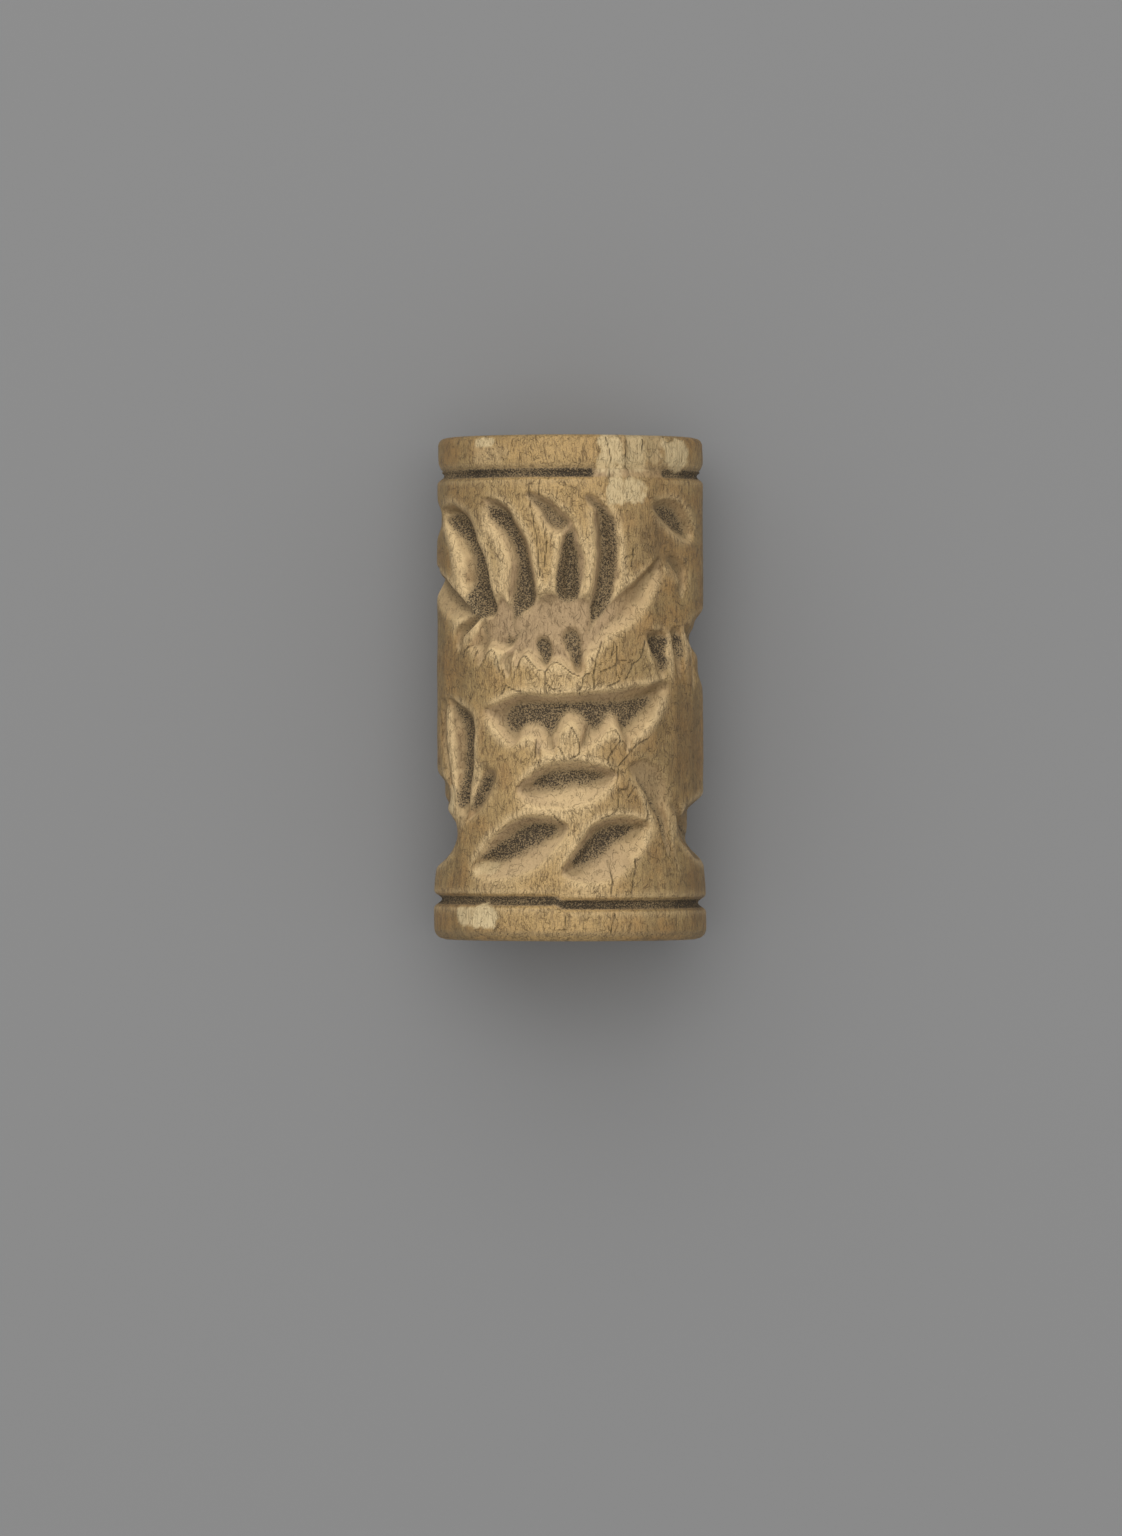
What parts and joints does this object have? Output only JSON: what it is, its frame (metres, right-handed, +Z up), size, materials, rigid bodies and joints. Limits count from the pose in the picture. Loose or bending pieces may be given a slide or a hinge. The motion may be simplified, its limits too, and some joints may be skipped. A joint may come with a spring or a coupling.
{
  "type": "cylinder seal",
  "caption": "Small ivory cylinder seal with ringed rims, deep carving all round and a string hole through its length.",
  "frame": {"origin": "on the surface that the seal lies on, under the middle of its length", "axes": "+Y along the string hole towards the head end of the carving, +Z up through the front of the carving, +X to the right of the carving"},
  "size_m": [0.0158, 0.029, 0.0154],
  "materials": {
    "aged_ivory": "worn, satin on the raised places and matt in the cuts"
  },
  "bodies": {
    "root": {"cylinder_seal": "aged_ivory"}
  },
  "joints": []
}
